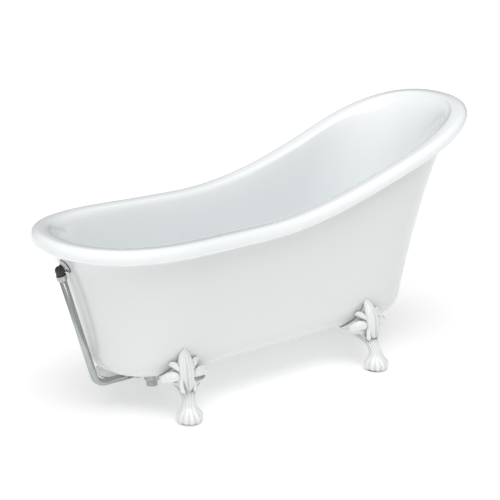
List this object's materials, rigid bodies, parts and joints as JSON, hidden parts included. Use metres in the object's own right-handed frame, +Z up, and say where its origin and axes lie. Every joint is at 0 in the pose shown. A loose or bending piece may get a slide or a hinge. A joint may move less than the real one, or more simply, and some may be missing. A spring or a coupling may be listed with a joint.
{
  "type": "freestanding bathtub",
  "caption": "Single-ended slipper bath with a rolled rim and double skin, on claw feet, with an outside overflow pipe and a push-open waste.",
  "frame": {"origin": "on the floor, under the middle of the rim's length and width", "axes": "+X towards the high head end, +Z up, Y across the bath; the overflow and waste are at the -X foot end"},
  "size_m": [1.7, 0.6424, 0.8794],
  "materials": {
    "acrylic_inner": "glossy white sanitary acrylic",
    "acrylic_outer": "glossy white sanitary acrylic, slightly softer sheen",
    "foot_enamel": "gloss white paint over cast metal",
    "board": "raw particle board",
    "brass_insert": "plain machined",
    "plain_steel": "bright zinc plated",
    "chrome": "polished plate",
    "black_plastic": "satin moulded",
    "spacer_plastic": "moulded",
    "black_rubber": "soft moulded"
  },
  "bodies": {
    "tub": {"basin": "acrylic_inner", "outer_shell": "acrylic_outer", "base_board": "board", "foot_front_left": "foot_enamel", "foot_front_right": "foot_enamel", "foot_rear_left": "foot_enamel", "foot_rear_right": "foot_enamel", "foot_pads": "black_rubber", "foot_bolts": "plain_steel", "foot_washers": "plain_steel", "foot_inserts": "brass_insert", "overflow_grille": "chrome", "overflow_screw": "plain_steel", "overflow_inner_gasket": "black_rubber", "overflow_sleeve": "spacer_plastic", "overflow_outer_gasket": "black_rubber", "overflow_flange": "chrome", "overflow_elbow": "black_plastic", "overflow_nut": "chrome", "overflow_olive": "black_rubber", "overflow_pipe": "chrome", "drain_flange": "chrome", "drain_gasket": "black_rubber", "waste_washer": "black_rubber", "waste_body": "chrome", "waste_inlet_nut": "chrome", "waste_inlet_olive": "black_rubber", "tail_gasket": "black_rubber", "tail_nut": "chrome", "tailpiece": "chrome", "plug_cartridge": "chrome", "plug_spring": "plain_steel"},
    "plug": {"plug_cap": "chrome", "plug_seal": "black_rubber", "plug_stem": "chrome"}
  },
  "joints": [
    {"name": "plug_push", "type": "slide", "parent": "tub", "child": "plug", "axis": [0, 0, 1], "range_m": [-0.009, 0], "stiffness_N_per_m": 800, "springref_m": 0.005, "deforming": ["plug_spring"]}
  ]
}
